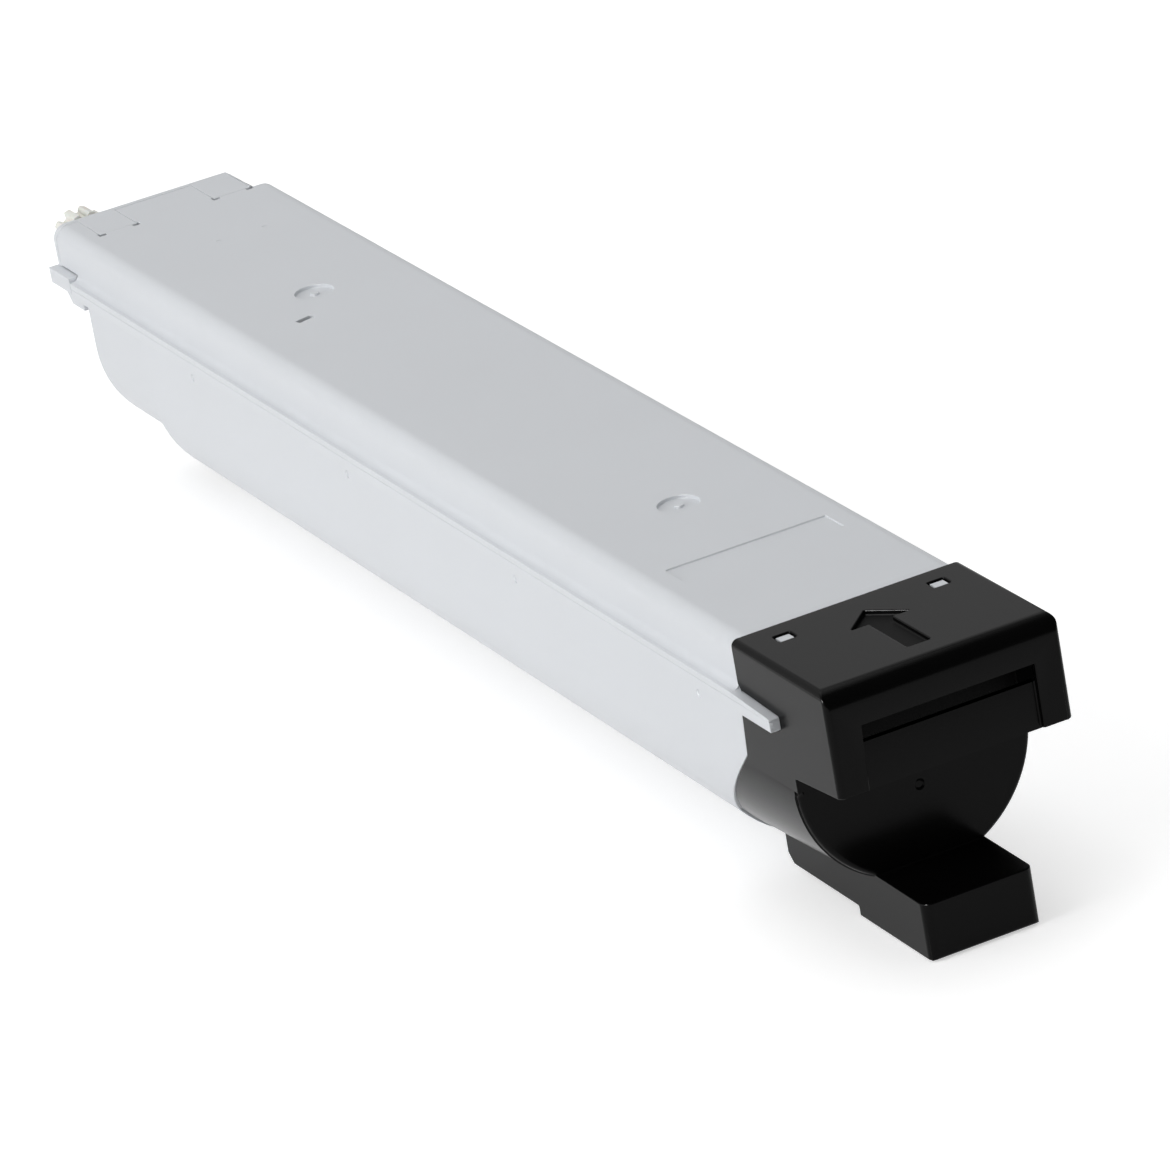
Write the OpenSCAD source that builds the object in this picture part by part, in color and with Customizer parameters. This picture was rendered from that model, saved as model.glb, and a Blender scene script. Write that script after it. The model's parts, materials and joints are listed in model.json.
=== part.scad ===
// Toner cartridge: a long moulded tub with a welded cover, side rails, a black front cap and a driven rear end.
// Millimetres. +Y points to the rear, the way the cartridge slides in, +Z is up.
// The origin is the middle of the bounding box, at its bottom.
// Depths called drop are measured down from the cap's top face. Places along the length are measured
// back from the hood's front face.

/* [Body] */
// Length from the hood's front face to the back of the rear cover
body_l = 562; // [540:1:600]
// How far the cap stands out over the top cover at each side
cover_inset = 0.75; // [0.6:0.05:1.2]
// How far the top cover lies below the cap's top face
cover_drop = 0.3; // [0.2:0.1:0.6]
// Radius of the top cover's shoulders
shoulder_r = 5; // [3:0.5:7]
// Wall of the tub and the top cover
wall = 2.2; // [1.8:0.1:2.5]
// How far the cap stands out over the tub at each side
tub_inset = 0.2; // [0.1:0.05:0.5]
// Depth of the axis of the tub's round bottom
tub_axis_drop = 43.4; // [43:0.1:44]
// Depth of the seam between the top cover and the tub
seam_drop = 17.3; // [16.5:0.1:18]

/* [Rails] */
// How far the rails stand out over the cap
rail_out = 2.7; // [2.2:0.1:3.4]
// Thickness of the top cover's flange
cover_flange_t = 2.1; // [1.8:0.1:2.6]
// Thickness of the tub's flange under it
tub_flange_t = 3.4; // [3:0.1:4]
// Place of the rails' front ends
rail_nose_y = 32.8; // [31.5:0.1:34]
// Radius of the rails' front ends, seen from above
rail_nose_r = 0.8; // [0.5:0.1:1.5]
// How much lower the rails' tops lie at their front ends
rail_fall = 1.3; // [0.8:0.1:1.6]
// Radius of the hollow between the top cover and its flange
fillet_r = 2.4; // [1.6:0.2:2.6]

/* [Rear section] */
// Length of the smaller rear section of the tub, up to its end
rear_l = 51; // [50:1:58]
// How much smaller the rear section's radius is than the tub's
rear_step = 1.8; // [1.4:0.1:2.2]
// Depth of the rear section's axis
rear_axis_drop = 40.2; // [39.8:0.1:40.6]
// How far the rear cover's block reaches past the tub's end
block_l = 17; // [15:0.5:20]
// Depth of the block's underside
block_drop = 26.5; // [25:0.5:29]
// Depth of the gear chamber, from the tub's end
chamber_l = 14; // [13.5:0.5:16]
// Wall of the rear section's hopper space, thicker at the flat land under it
hopper_wall = 2.6; // [2.4:0.1:2.8]

/* [Front cap] */
// Width of the cap
cap_w = 75; // [75:0.1:76]
// Depth of the cap from the hood's front face to its rear edge at the top
cap_l = 57; // [54:0.5:62]
// How far the hood stands out from the disc wall
hood_l = 28; // [25:0.5:28.5]
// Depth of the hood's side walls
hood_drop = 31.9; // [29:0.1:34]
// Wall of the cap
cap_wall = 2.3; // [2:0.1:2.5]
// Radius of the hood's top front edge
hood_front_r = 6; // [4:0.5:8]
// Radius of the hood's upright front edges
hood_corner_r = 2; // [1.5:0.5:4]
// Radius of the cap's top side edges
cap_edge_r = 2.2; // [1.5:0.1:3]
// Radius of the skirt's soft front edge
skirt_edge_r = 1.8; // [1:0.1:2.5]
// Depth of the axis of the round skirt at the disc
skirt_axis_drop = 38.6; // [38:0.1:39.5]
// How much deeper the skirt's axis lies at its rear edge
skirt_fall = 3.4; // [3:0.1:3.8]
// Place of the skirt's rear edge at the bottom
skirt_end_y = 88; // [84:1:92]
// Width of the recess in the hood's front face
panel_w = 56; // [50:1:60]
// Depth of the recess behind the front face
panel_set = 2; // [1.4:0.1:2.2]
// Depth of the top of the finger slot
slot_top_drop = 12; // [10:0.5:13]
// Height of the finger slot
slot_h = 6; // [5:0.5:8]
// Gap between parts that are pushed together
seat_gap = 0.3; // [0.2:0.05:0.35]

/* [Tongue] */
// Width of the tongue
tongue_w = 35.6; // [32:0.2:40]
// Depth of the tongue's top face
tongue_top_drop = 71.3; // [70:0.1:72]
// Depth of the tongue's bottom, and of the whole cartridge
tongue_drop = 89; // [87:0.5:92]
// Length of the deep front block
tongue_l = 44; // [40:1:50]
// Depth of the keel behind it
keel_drop = 86; // [84:0.5:86.5]
// Place of the keel's rear end
keel_end_y = 87; // [80:1:90]
// Radius of the tongue's upright front edges
tongue_r = 3; // [2:0.5:4]

/* [Gears] */
// Teeth of the drive pinion
pinion_teeth = 12; // [12:1:13]
// Teeth of the agitator gear
agitator_teeth = 50; // [49:1:51]
// Teeth of the auger gear
auger_teeth = 15; // [15:1:16]
// Face width of the gears in the chamber
gear_w = 5.5; // [4.5:0.5:6]
// Teeth of the coupling gear outside
coupling_teeth = 10; // [9:1:12]
// Tip radius of the coupling gear
coupling_r = 9.4; // [8.6:0.1:9.4]
// Length of the coupling gear
coupling_l = 9; // [7:0.5:11]
// Sideways place of the drive axis
drive_x = -23.1; // [-23.6:0.1:-23]
// Depth of the drive axis
drive_drop = 9.6; // [9.5:0.1:10]
// Radial running clearance of a shaft in its bush
run_gap = 0.08; // [0.05:0.01:0.1]

/* [Agitator and auger] */
// Radius of the drive shaft
drive_shaft_r = 3.5; // [3.2:0.1:4]
// Radius of the agitator shaft
agitator_shaft_r = 3.5; // [3:0.1:4]
// Radius that the agitator film sweeps
film_r = 23; // [20:0.5:23.5]
// Thickness of the film
film_t = 0.3; // [0.2:0.05:0.5]
// Radius of the auger's flight
auger_r = 8.4; // [7.5:0.1:8.6]
// Radius of the auger's shaft
auger_shaft_r = 2.5; // [2.2:0.1:3]
// Lead of the auger's flight
auger_lead = 24; // [20:1:30]

/* [Outlet and shutter] */
// Length and width of the outlet
outlet_side = 13; // [11:0.5:13.5]
// Distance from the tub's end to the outlet's middle
outlet_back = 24.5; // [24:0.25:25]
// Width of the shutter plate
shutter_w = 24; // [22:0.5:25]
// Thickness of the shutter plate
shutter_t = 1.5; // [1.2:0.1:1.7]
// Thickness of the foam outlet seal
seal_t = 1; // [0.8:0.1:1.2]

/* [Marks and fittings] */
// Radius of the gate dimples on the top cover
dimple_r = 6.5; // [5:0.5:8]
// Place of the front gate dimple
dimple_front_y = 163; // [150:1:175]
// Distance between the two gate dimples
dimple_pitch = 263; // [240:1:270]
// Length of the bare name recess
name_l = 53; // [48:1:56]
// Height of the bare name recess
name_h = 11.5; // [9:0.5:13]
// Place of the front edge of the name recess
name_y = 108; // [102:1:115]
// Length of a latch arm of the rear cover
latch_l = 22; // [19:0.5:24]
// Width of a latch arm
latch_w = 13.6; // [12:0.2:14]
// Distance between the middles of the latch arms
latch_pitch = 42.2; // [41:0.2:43]
// Thickness of a latch arm
latch_t = 1.1; // [1:0.05:1.3]
// Width of the chip notch
notch_w = 8.1; // [7.6:0.1:8.3]
// Length of the chip notch
notch_l = 19.5; // [18:0.5:21]
// Depth of the chip notch's floor
notch_drop = 9; // [8:0.5:11]
// Thickness of the chip board
chip_t = 1; // [0.8:0.1:1.2]
// Distance between the cover screws
screw_pitch = 52; // [51:0.5:53]
// Depth of the cover screws
screw_drop = 49; // [48:0.5:50]
// Radius of the fill hole
fill_r = 10.5; // [9:0.5:11]

/* [Hidden] */
$fn = 48;

light_grey = [0.76, 0.79, 0.81];
gloss_black = [0.05, 0.05, 0.055];
cream = [0.82, 0.80, 0.70];
white = [0.9, 0.9, 0.88];
foam = [0.25, 0.25, 0.27];
steel = [0.7, 0.7, 0.72];

eps = 0.01;
cover_w = cap_w - 2 * cover_inset;
tub_r = cap_w / 2 - tub_inset;
rail_w = cap_w + 2 * rail_out;
rear_r = tub_r - rear_step;
hopper_r = rear_r - hopper_wall;
notch_x = cover_w / 2 - notch_w;
latch_x = latch_pitch / 2;
screw_x = screw_pitch / 2;
seal_w = 2;
shutter_l = outlet_side + 2 * seal_w + 1;
shutter_travel = outlet_side + seal_w + 1;
body_end = body_l;
overall_l = body_end + seat_gap + 3 + coupling_l;
tub_end = body_end - block_l;
step_y = tub_end - rear_l;
chamber_y = tub_end - chamber_l;
inner_wall_y = chamber_y - 2;
cover_end = body_end - 2.7;
neck_y = hood_l + cap_wall + 3.4;
neck_inner_y = neck_y + wall;
neck_r = cap_w / 2 - cap_wall - seat_gap;
neck_end = skirt_end_y + 7;
skirt_tilt = atan(skirt_fall / (skirt_end_y - hood_l));
cap_plate_t = 2.4;
latch_gap = 0.06;
flange_end = tub_end;
rail_top_drop = seam_drop - cover_flange_t;
rail_foot_drop = seam_drop + tub_flange_t;
rail_gap = 0.12;
rail_foot_cut = 0.8;
slot_corner = 1.6;
rail_end_rise = 1.4;
rail_end_out = 0.6;
block_slope = 6.5;
hood_foot = hood_drop;
panel_foot_drop = hood_drop + 0.5;
window_x = 25;
window_y = cap_l - 10;
window_w = 5.6;
window_l = 4.8;
arrow_front = cap_l - 44;
arrow_l = 33;
arrow_neck = 10;
arrow_tail_w = 7.5;
arrow_head_w = 19;
arrow_depth = 1.6;
gear_module = 1;
addendum = 0.75;
dedendum = 1.1;
backlash = 0.22;
drive_reach = (pinion_teeth + agitator_teeth) * gear_module / 2;
agitator_drop = drive_drop + sqrt(drive_reach * drive_reach - drive_x * drive_x);
auger_drop = agitator_drop + (agitator_teeth + auger_teeth) * gear_module / 2;
gear_y = chamber_y + 1.6;
bush_t = 2;
bush_flange_t = 1.2;
bush_flange = 1.8;
front_boss_l = 5;
agitator_bar_r = 14;
bar_w = 4;
bar_t = 3;
arm_pitch = 60;
arm_t = 3;
agitator_front = neck_inner_y + front_boss_l + 2;
agitator_rear = inner_wall_y - 3.5;
auger_front = neck_end + 4;
auger_rear = inner_wall_y - 3.5;
pad_drop = rear_axis_drop + rear_r - 1.2;
guide_t = 1.5;
pad_w = shutter_w + 2 * guide_t + 2 * 0.3;
shutter_drop = pad_drop + 0.25;
outlet_y = tub_end - outlet_back;
shutter_y = outlet_y - shutter_l / 2;
lip_t = 0.8;
lip_w = 1.8;
chip_w = 6.4;
chip_l = 13;
pad_rows = 4;
screw_r = 1.5;
screw_head_r = 3;
boss_r = 3.4;
fill_x = neck_r * 0.5;
fill_drop = skirt_axis_drop + 7;
slot_hole_y = dimple_front_y + dimple_pitch - 21;
slot_hole_x = -13;
slot_hole_turn = 15;
dimple_depth = 1.1;
top_mark_y = 499;
mark_pitch = 122;
mark_y = 86;

// Height over the ground of a depth under the cap's top
function at(drop) = tongue_drop - drop;
function polar(r, a) = [r * cos(a), r * sin(a)];
// Angle of an involute at radius r over its base circle, in degrees
function inv(r, rb) = r <= rb ? 0 : (tan(acos(rb / r)) * 180 / PI) - acos(rb / r);

// One gear outline with involute flanks, its first tooth centred at the angle phase
function gear_points(teeth, m, add, ded, thin, phase) =
    let (rp = teeth * m / 2, rb = rp * cos(20), ra = rp + add, rr = rp - ded,
        half = (PI * m / 2 - thin) / (2 * rp) * 180 / PI + inv(rp, rb),
        low = max(rr, rb), steps = 3,
        radii = concat([rr], [for (i = [0 : steps]) low + (ra - low) * i / steps]))
    [for (k = [0 : teeth - 1], side = [-1, 1], i = [0 : len(radii) - 1])
        let (r = side < 0 ? radii[i] : radii[len(radii) - 1 - i])
        polar(r, phase + 360 * k / teeth + side * (half - inv(r, rb)))];

// Moves a piece from the building frame to the origin
module placed() {
    translate([0, -overall_l / 2, 0]) children();
}

// Extrudes an outline drawn in x and z along the length
module along_y(from, to) {
    translate([0, to, 0]) rotate([90, 0, 0]) linear_extrude(to - from) children();
}

// Extrudes an outline drawn in y and z across the width
module along_x(from, to) {
    translate([from, 0, 0]) rotate([90, 0, 90]) linear_extrude(to - from) children();
}

module rod(x, drop, r, from, to) {
    along_y(from, to) translate([x, at(drop)]) circle(r);
}

module ring(x, drop, r_out, r_in, from, to) {
    along_y(from, to) translate([x, at(drop)]) difference() {
        circle(r_out);
        circle(r_in);
    }
}

module block(x0, x1, y0, y1, drop0, drop1) {
    translate([x0, y0, at(drop1)]) cube([x1 - x0, y1 - y0, drop1 - drop0]);
}

module both_sides() {
    children();
    mirror([1, 0, 0]) children();
}

// Flat-topped outline with round upper corners, down to a depth
module shouldered(half_w, top_drop, r, foot_drop) {
    translate([-half_w + r, at(foot_drop)]) square([2 * (half_w - r), foot_drop - top_drop]);
    translate([-half_w, at(foot_drop)]) square([2 * half_w, foot_drop - top_drop - r]);
    both_sides() translate([half_w - r, at(top_drop + r)]) circle(r);
}

// Outline with straight sides and a round bottom, up to a depth
module tunnel(r, axis_drop, top_drop) {
    translate([0, at(axis_drop)]) circle(r, $fn = 96);
    translate([-r, at(axis_drop)]) square([2 * r, axis_drop - top_drop]);
}

// Tunnel outline extruded along the skirt's falling axis
module barrel(r, from, to, top_drop) {
    intersection() {
        translate([0, hood_l, at(skirt_axis_drop)]) rotate([90 - skirt_tilt, 0, 0])
            translate([0, 0, -120]) linear_extrude(140) {
                circle(r, $fn = 96);
                translate([-r, 0]) square([2 * r, 60]);
            }
        block(-cap_w, cap_w, from, to, top_drop, tongue_drop);
    }
}

module cover_outer() {
    along_y(cap_l + seat_gap, cover_end) shouldered(cover_w / 2, cover_drop, shoulder_r, seam_drop);
    along_y(neck_y, cap_l + 1) shouldered(neck_r, cap_wall + seat_gap, shoulder_r - wall / 2, seam_drop);
}

module cover_space() {
    inner_r = shoulder_r - wall;
    along_y(cap_l + wall, inner_wall_y)
        shouldered(cover_w / 2 - wall, cover_drop + wall, inner_r, seam_drop + eps);
    along_y(neck_inner_y, cap_l + wall + eps)
        shouldered(neck_r - wall, cap_wall + seat_gap + wall, inner_r, seam_drop + eps);
    along_y(chamber_y, cover_end + 1)
        shouldered(cover_w / 2 - wall, cover_drop + wall, inner_r, seam_drop + eps);
}

// Side view of a rail with its blunt nose, grown by a gap
module nose_side(gap) {
    front = rail_nose_y - gap;
    polygon([
        [front, at(rail_foot_drop + gap - rail_foot_cut)],
        [front, at(rail_top_drop - gap + rail_fall)],
        [cap_l + 1, at(rail_top_drop - gap)],
        [body_end + 5, at(rail_top_drop - gap)],
        [body_end + 5, at(rail_foot_drop + gap)],
        [front + rail_foot_cut, at(rail_foot_drop + gap)]
    ]);
}

// The rails seen from above, with round outer corners at the front
module rail_plan() {
    half = rail_w / 2;
    translate([0, rail_nose_y]) square([half - rail_nose_r, body_end]);
    translate([0, rail_nose_y + rail_nose_r]) square([half, body_end]);
    translate([half - rail_nose_r, rail_nose_y + rail_nose_r]) circle(rail_nose_r);
}

// Side flange of a half shell, from the depth top_drop down to foot_drop
module flange(top_drop, foot_drop) {
    both_sides() intersection() {
        union() {
            intersection() {
                block(cap_w / 2 - cap_wall + seat_gap, rail_w, rail_nose_y, flange_end, top_drop, foot_drop);
                linear_extrude(tongue_drop) rail_plan();
            }
            block(neck_r - 1, rail_w / 2 - 1, neck_y, flange_end, top_drop, foot_drop);
        }
        along_x(0, rail_w) nose_side(0);
    }
}

// Hollow that runs from the top cover's side into its flange
module flange_fillet() {
    both_sides() along_y(cap_l + seat_gap, flange_end)
        translate([cover_w / 2 - eps, at(rail_top_drop) - eps]) difference() {
            square(fillet_r);
            translate([fillet_r, fillet_r]) circle(fillet_r);
        }
}

module gate_dimple(y) {
    translate([0, y, at(cover_drop + dimple_depth)]) difference() {
        cylinder(r = dimple_r, h = dimple_depth + 1);
        cylinder(r = 1.5, h = dimple_depth - 0.3);
    }
}

module vent_slot() {
    translate([slot_hole_x, slot_hole_y, at(cover_drop + wall + 1)]) rotate([0, 0, slot_hole_turn])
        translate([-3, -1.2, 0]) cube([6, 2.4, wall + 2]);
}

module latch_recess(x) {
    block(x - latch_w / 2 - latch_gap, x + latch_w / 2 + latch_gap, body_end - latch_l - latch_gap,
        cover_end + 1, cover_drop - 1, cover_drop + latch_t + 0.1);
    for (side = [-1, 1])
        block(x + side * (latch_w / 2 - 0.6) - 1.3, x + side * (latch_w / 2 - 0.6) + 1.3,
            body_end - latch_l - 1.8, body_end - latch_l + 1, cover_drop - 1, cover_drop + wall + 1);
}

module top_cover() {
    color(light_grey) placed() {
        difference() {
            union() {
                difference() {
                    cover_outer();
                    cover_space();
                }
                flange(rail_top_drop, seam_drop);
                flange_fillet();
                both_sides() block(window_x - 2.2, window_x + 2.2, window_y - 1.8, window_y + 1.8,
                    0.4, cap_wall + seat_gap + 1);
                intersection() {
                    along_y(chamber_y, cover_end)
                        shouldered(cover_w / 2, cover_drop, shoulder_r, notch_drop + 2);
                    block(notch_x - 1.6, cover_w, cover_end - notch_l - 1.6, cover_end, 0, notch_drop + 2);
                }
                block(slot_hole_x - 8, slot_hole_x + 8, slot_hole_y - 5, slot_hole_y + 5,
                    cover_drop + 1, cover_drop + wall + 1.2);
            }
            block(notch_x, cover_w, cover_end - notch_l, cover_end + 1, -1, notch_drop);
            both_sides() block(cover_w / 2 - wall - 1, cover_w, flange_end, body_end,
                rail_top_drop - rail_end_rise - 0.4, seam_drop + 1);
            for (side = [-1, 1]) latch_recess(side * latch_x);
            for (y = [dimple_front_y, dimple_front_y + dimple_pitch]) gate_dimple(y);
            block(-name_l / 2, name_l / 2, name_y, name_y + name_h, -1, cover_drop + 0.5);
            vent_slot();
            block(slot_hole_x - 6.5, slot_hole_x + 6.5, slot_hole_y - 3.5, slot_hole_y + 3.5,
                cover_drop + wall, cover_drop + wall + 3);
            for (x = [-1.8, 14.9]) translate([x, top_mark_y, at(cover_drop + 0.3)]) cylinder(r = 0.9, h = 2);
        }
    }
}

// Side view of the space that the cap's sleeve and skirt fill, grown by a gap
module skirt_side(gap) {
    slope_drop = skirt_end_y - cap_l - 2;
    polygon([
        [0, at(0) + 5],
        [cap_l + gap, at(0) + 5],
        [cap_l + gap, at(seam_drop)],
        [cap_l + 2 + gap, at(skirt_axis_drop - 2)],
        [skirt_end_y + gap, at(skirt_axis_drop - 2 + slope_drop)],
        [skirt_end_y + gap, at(tongue_drop) - 5],
        [0, at(tongue_drop) - 5]
    ]);
}

module below_seam() {
    intersection() {
        children();
        block(-rail_w, rail_w, 0, body_l + 50, seam_drop, tongue_drop + 5);
    }
}

module tub_outer() {
    below_seam() {
        difference() {
            along_y(neck_y, step_y) tunnel(tub_r, tub_axis_drop, 0);
            difference() {
                along_x(-cap_w, cap_w) skirt_side(seat_gap);
                barrel(neck_r, neck_y - 1, neck_end + 5, 0);
            }
        }
    }
    below_seam() difference() {
        along_y(step_y - eps, tub_end) tunnel(rear_r, rear_axis_drop, 0);
        block(-pad_w / 2, pad_w / 2, step_y, tub_end - 1, pad_drop, tongue_drop);
    }
}

module tub_space() {
    barrel(neck_r - wall, neck_inner_y, neck_end, 0);
    along_y(neck_end - eps, step_y - wall) tunnel(tub_r - wall, tub_axis_drop, 0);
    along_y(step_y - wall - eps, inner_wall_y) tunnel(hopper_r, rear_axis_drop, 0);
    along_y(chamber_y, tub_end + 1) tunnel(rear_r - wall, rear_axis_drop, 0);
}

// Flat land under the rear section with the shutter's two guides
module outlet_pad() {
    difference() {
        union() {
            block(-pad_w / 2, pad_w / 2, step_y, tub_end - 1, pad_drop - 6, pad_drop);
            both_sides() {
                block(pad_w / 2 - guide_t, pad_w / 2, step_y, tub_end - 1,
                    pad_drop - 1, shutter_drop + shutter_t + 0.25 + lip_t);
                block(pad_w / 2 - guide_t - lip_w, pad_w / 2, step_y, tub_end - 1,
                    shutter_drop + shutter_t + 0.25, shutter_drop + shutter_t + 0.25 + lip_t);
            }
        }
        along_y(step_y - 1, tub_end + 1) tunnel(rear_r - wall, rear_axis_drop, 0);
    }
}

module side_marks() {
    for (side = [-1, 1], i = [0 : 3]) {
        translate([side * (tub_r - 0.5), mark_y + i * mark_pitch, at(25.6)]) rotate([0, side * 90, 0])
            cylinder(r = 1.2, h = 3);
    }
}

module tub() {
    color(light_grey) placed() {
        difference() {
            union() {
                difference() {
                    tub_outer();
                    tub_space();
                }
                flange(seam_drop, rail_foot_drop);
                outlet_pad();
                both_sides() rod(screw_x, screw_drop, boss_r, inner_wall_y, tub_end - cap_plate_t - seat_gap);
                rod(drive_x, drive_drop + 9, 1, inner_wall_y, chamber_y);
                rod(0, agitator_drop, agitator_shaft_r + 4, neck_y, neck_inner_y + front_boss_l);
                rod(0, auger_drop, auger_shaft_r + 4, neck_y, neck_inner_y + front_boss_l);
            }
            both_sides() rod(screw_x, screw_drop, screw_r, chamber_y + 1, tub_end + 1);
            rod(0, agitator_drop, agitator_shaft_r + 2.2, neck_inner_y, neck_inner_y + front_boss_l + 1);
            rod(0, auger_drop, auger_shaft_r + 2.2, neck_inner_y, neck_inner_y + front_boss_l + 1);
            rod(0, agitator_drop, agitator_shaft_r + bush_t, inner_wall_y - 1, chamber_y + 1);
            rod(0, auger_drop, auger_shaft_r + bush_t, inner_wall_y - 1, chamber_y + 1);
            rod(fill_x, fill_drop, fill_r, neck_y - 1, neck_inner_y + 1);
            block(-outlet_side / 2, outlet_side / 2, outlet_y - outlet_side / 2, outlet_y + outlet_side / 2,
                pad_drop - 7, tongue_drop);
            block(-outlet_side / 2 - seal_w - 0.2, outlet_side / 2 + seal_w + 0.2,
                outlet_y - outlet_side / 2 - seal_w - 0.2, outlet_y + outlet_side / 2 + seal_w + 0.2,
                pad_drop - seal_t + 0.2, pad_drop + 1);
            side_marks();
        }
    }
}

module hood_plan(half_w, front, r) {
    translate([-half_w, front + r]) square([2 * half_w, skirt_end_y + 10]);
    translate([-half_w + r, front]) square([2 * (half_w - r), r + 1]);
    both_sides() translate([half_w - r, front + r]) circle(r);
}

// Side view of the hood: round top front edge and a foot that drops a little to the rear
module hood_side() {
    difference() {
        polygon([
            [0, at(hood_drop)],
            [0, at(0)],
            [cap_l, at(0)],
            [cap_l, at(seam_drop)],
            [cap_l + 2, at(skirt_axis_drop - 2)],
            [cap_l + 4, at(skirt_axis_drop)],
            [hood_l, at(skirt_axis_drop)],
            [hood_l, at(hood_drop + 2.4)]
        ]);
        translate([0, at(hood_front_r)]) difference() {
            translate([-1, 0]) square([hood_front_r + 1, hood_front_r + 1]);
            translate([hood_front_r, 0]) circle(hood_front_r);
        }
    }
}

module hood_outer() {
    intersection() {
        along_y(-1, cap_l + 5) shouldered(cap_w / 2, 0, cap_edge_r, skirt_axis_drop);
        along_x(-cap_w, cap_w) hood_side();
        translate([0, 0, at(tongue_drop)]) linear_extrude(tongue_drop + 1)
            hood_plan(cap_w / 2, 0, hood_corner_r);
    }
}

// Round skirt with a soft front edge, cut on a slope at its rear
module skirt_outer() {
    intersection() {
        union() {
            intersection() {
                translate([0, hood_l, at(skirt_axis_drop)]) rotate([-90, 0, 0]) rotate_extrude($fn = 96)
                    skirt_edge();
                block(-cap_w, cap_w, hood_l, skirt_end_y, skirt_axis_drop - eps, tongue_drop);
            }
            barrel(cap_w / 2, hood_l + skirt_edge_r + 0.4, skirt_end_y + 1, hood_drop);
        }
        along_x(-cap_w, cap_w) skirt_side(0);
    }
}

module skirt_edge() {
    r = skirt_edge_r;
    outer = cap_w / 2 - 0.05;
    translate([0, 0]) square([outer - r, 6]);
    translate([0, r]) square([outer, 6 - r]);
    translate([outer - r, r]) circle(r);
}

module hood_space() {
    along_y(cap_wall, hood_l)
        shouldered(cap_w / 2 - cap_wall, cap_wall, 1, hood_drop + 20);
}

module sleeve_space() {
    along_y(hood_l + cap_plate_t, skirt_end_y + 5)
        shouldered(cap_w / 2 - cap_wall, cap_wall, 2, hood_drop);
    barrel(cap_w / 2 - cap_wall, hood_l + cap_plate_t, skirt_end_y + 5, seam_drop);
}

// Recess in the hood's front, with the finger slot at its top
module hood_panel_cut() {
    block(-panel_w / 2, panel_w / 2, -1, panel_set, slot_top_drop, hood_drop + 5);
    block(-panel_w / 2, panel_w / 2, -1, cap_wall + panel_set + 2, slot_top_drop, slot_top_drop + slot_h);
}

module hood_panel() {
    block(-panel_w / 2 - 0.5, panel_w / 2 + 0.5, panel_set, cap_wall + panel_set - eps,
        slot_top_drop + slot_h, panel_foot_drop);
}

module tongue_outer() {
    intersection() {
        along_x(-tongue_w / 2, tongue_w / 2) difference() {
            polygon([
                [0, at(tongue_top_drop)],
                [0, at(tongue_drop)],
                [tongue_l, at(tongue_drop)],
                [tongue_l, at(keel_drop)],
                [keel_end_y - 3, at(keel_drop)],
                [keel_end_y, at(keel_drop - 3)],
                [keel_end_y, at(tongue_top_drop)]
            ]);
            translate([0, at(tongue_drop)]) difference() {
                square([1.5, 1.5]);
                translate([1.5, 1.5]) circle(1.5);
            }
        }
        translate([0, 0, 0]) linear_extrude(tongue_drop) hood_plan(tongue_w / 2, 0, tongue_r);
    }
}

// The tongue and keel are open below, with cross ribs
module tongue_space() {
    side = tongue_w / 2 - cap_wall;
    difference() {
        block(-side, side, cap_wall, keel_end_y - cap_wall, tongue_top_drop + cap_wall, tongue_drop + 1);
        barrel(cap_w / 2, hood_l, skirt_end_y + 1, hood_drop);
        for (y = [hood_l, tongue_l, (tongue_l + keel_end_y) / 2])
            block(-side, side, y - 1, y + 1, tongue_top_drop, keel_drop - 2);
    }
}

module cap_windows() {
    both_sides() block(window_x - window_w / 2, window_x + window_w / 2,
        window_y - window_l / 2, window_y + window_l / 2, -1, cap_wall + 1);
}

module arrow_pocket() {
    tip = arrow_front + arrow_l;
    translate([0, 0, at(arrow_depth)]) linear_extrude(arrow_depth + 1) polygon([
        [-arrow_tail_w / 2, arrow_front],
        [arrow_tail_w / 2, arrow_front],
        [arrow_tail_w / 2, tip - arrow_neck],
        [arrow_head_w / 2, tip - arrow_neck],
        [0, tip],
        [-arrow_head_w / 2, tip - arrow_neck],
        [-arrow_tail_w / 2, tip - arrow_neck]
    ]);
}

// Slots for the rails, with a slanted corner at the cap's rear edge
module rail_slots() {
    top = rail_top_drop - rail_gap;
    both_sides() along_x(cap_w / 2 - cap_wall - eps, cap_w) {
        nose_side(rail_gap);
        polygon([
            [cap_l - slot_corner, at(top + 0.5)],
            [cap_l - slot_corner, at(top)],
            [cap_l + 1, at(top - slot_corner - 1)],
            [cap_l + 1, at(top + 0.5)]
        ]);
    }
}

module front_cap() {
    color(gloss_black) placed() {
        difference() {
            union() {
                difference() {
                    union() {
                        hood_outer();
                        skirt_outer();
                        tongue_outer();
                    }
                    hood_space();
                    hood_panel_cut();
                    tongue_space();
                }
                hood_panel();
            }
            sleeve_space();
            cap_windows();
            arrow_pocket();
            rail_slots();
            rod(0, skirt_axis_drop + 10, 1.4, hood_l - 1, hood_l + 0.5);
        }
    }
}

// Side view of the block's hollow, slanted like its lower rear edge
module block_space() {
    polygon([
        [tub_end - 1, at(-1)],
        [body_end - wall, at(-1)],
        [body_end - wall, at(block_drop - block_slope - 1)],
        [body_end - block_slope - 1, at(block_drop - wall)],
        [tub_end - 1, at(block_drop - wall)]
    ]);
}

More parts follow.
